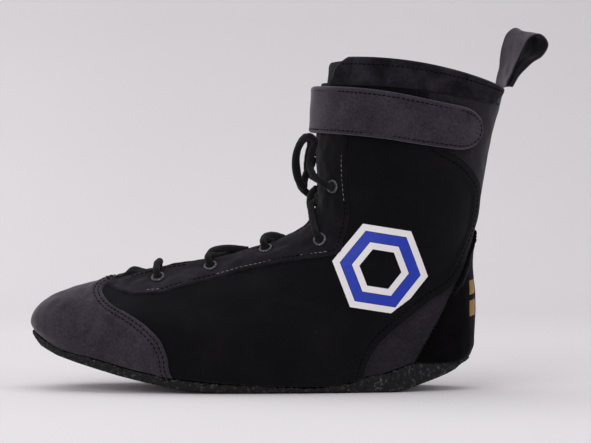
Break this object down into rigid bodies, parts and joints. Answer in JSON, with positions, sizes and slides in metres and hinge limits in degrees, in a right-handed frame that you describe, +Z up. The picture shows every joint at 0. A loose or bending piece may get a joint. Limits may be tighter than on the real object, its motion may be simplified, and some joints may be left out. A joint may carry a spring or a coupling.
{
  "type": "boxing boot",
  "caption": "Soft ankle-high boxing boot with a thin sole, suede panels, criss-cross lacing, a hook-and-loop ankle strap and a heel pull loop",
  "frame": {"origin": "middle of the flat patch of the outsole that the boot stands on", "axes": "X from toe to heel, Y from the outer side to the inner side, Z up"},
  "size_m": [0.3257, 0.0941, 0.2278],
  "materials": {
    "sole_rubber": "matt black, rough cut edge",
    "board": "raw fibreboard",
    "lining_cloth": "brushed knit lining",
    "grey_suede": "charcoal split suede, short nap",
    "stiffener": "resin-stiffened canvas",
    "black_suede": "black nubuck, fine nap",
    "padding": "open-cell foam on cloth",
    "black_velvet": "black velour, short pile",
    "facing_suede": "worn black suede",
    "eyelet_metal": "black painted, worn at the rim",
    "tongue_cloth": "padded soft cloth",
    "lace": "braided cotton",
    "aglet_plastic": "gloss",
    "hook_tape": "hook and loop tape",
    "loop_web": "suede webbing",
    "print_white": "heat-pressed film",
    "print_blue": "heat-pressed film",
    "print_gold": "faded gold print"
  },
  "bodies": {
    "boot": {"outsole": "sole_rubber", "sole_edge": "sole_rubber", "insole_board": "board", "sock_liner": "lining_cloth", "toe_cap": "grey_suede", "toe_puff": "stiffener", "vamp_lining": "lining_cloth", "quarter_outer_side": "black_suede", "quarter_inner_side": "black_suede", "ankle_pad_outer_side": "padding", "ankle_pad_inner_side": "padding", "lining_outer_side": "lining_cloth", "lining_inner_side": "lining_cloth", "back_panel": "grey_suede", "heel_counter": "black_velvet", "heel_stiffener": "stiffener", "heel_lining": "lining_cloth", "collar_outer_side": "black_velvet", "collar_inner_side": "black_velvet", "collar_lining_outer_side": "lining_cloth", "collar_lining_inner_side": "lining_cloth", "facing_outer_side": "facing_suede", "facing_inner_side": "facing_suede", "eyelets_outer_side": "eyelet_metal", "eyelets_inner_side": "eyelet_metal", "tongue_base": "tongue_cloth", "lacing": "lace", "lace_bow_outer": "lace", "lace_bow_inner": "lace", "aglets": "aglet_plastic", "strap_anchor": "grey_suede", "loop_patch": "hook_tape", "pull_loop_anchor": "loop_web", "badge_white": "print_white", "badge_blue": "print_blue", "heel_bars": "print_gold"},
    "tongue": {"tongue": "tongue_cloth"},
    "strap_front": {"strap_front": "grey_suede"},
    "strap_flap": {"strap_flap": "grey_suede", "hook_patch": "hook_tape"},
    "pull_loop": {"pull_loop": "loop_web"}
  },
  "joints": [
    {"name": "strap_swing", "type": "hinge", "parent": "boot", "child": "strap_front", "pos_m": [0.0087, 0.0193, 0.1775], "axis": [0, 0, -1], "range_deg": [0, 100]},
    {"name": "strap_peel", "type": "hinge", "parent": "strap_front", "child": "strap_flap", "pos_m": [0.0087, -0.0193, 0.1775], "axis": [0, 0, -1], "range_deg": [0, 110]},
    {"name": "tongue_tip", "type": "hinge", "parent": "boot", "child": "tongue", "pos_m": [0.0118, 0, 0.1125], "axis": [0, 1, 0], "range_deg": [0, 18]},
    {"name": "pull_loop_flex", "type": "hinge", "parent": "boot", "child": "pull_loop", "pos_m": [0.1262, 0, 0.195], "axis": [0, 1, 0], "range_deg": [-40, 28], "stiffness_Nm_per_rad": 0.02}
  ]
}
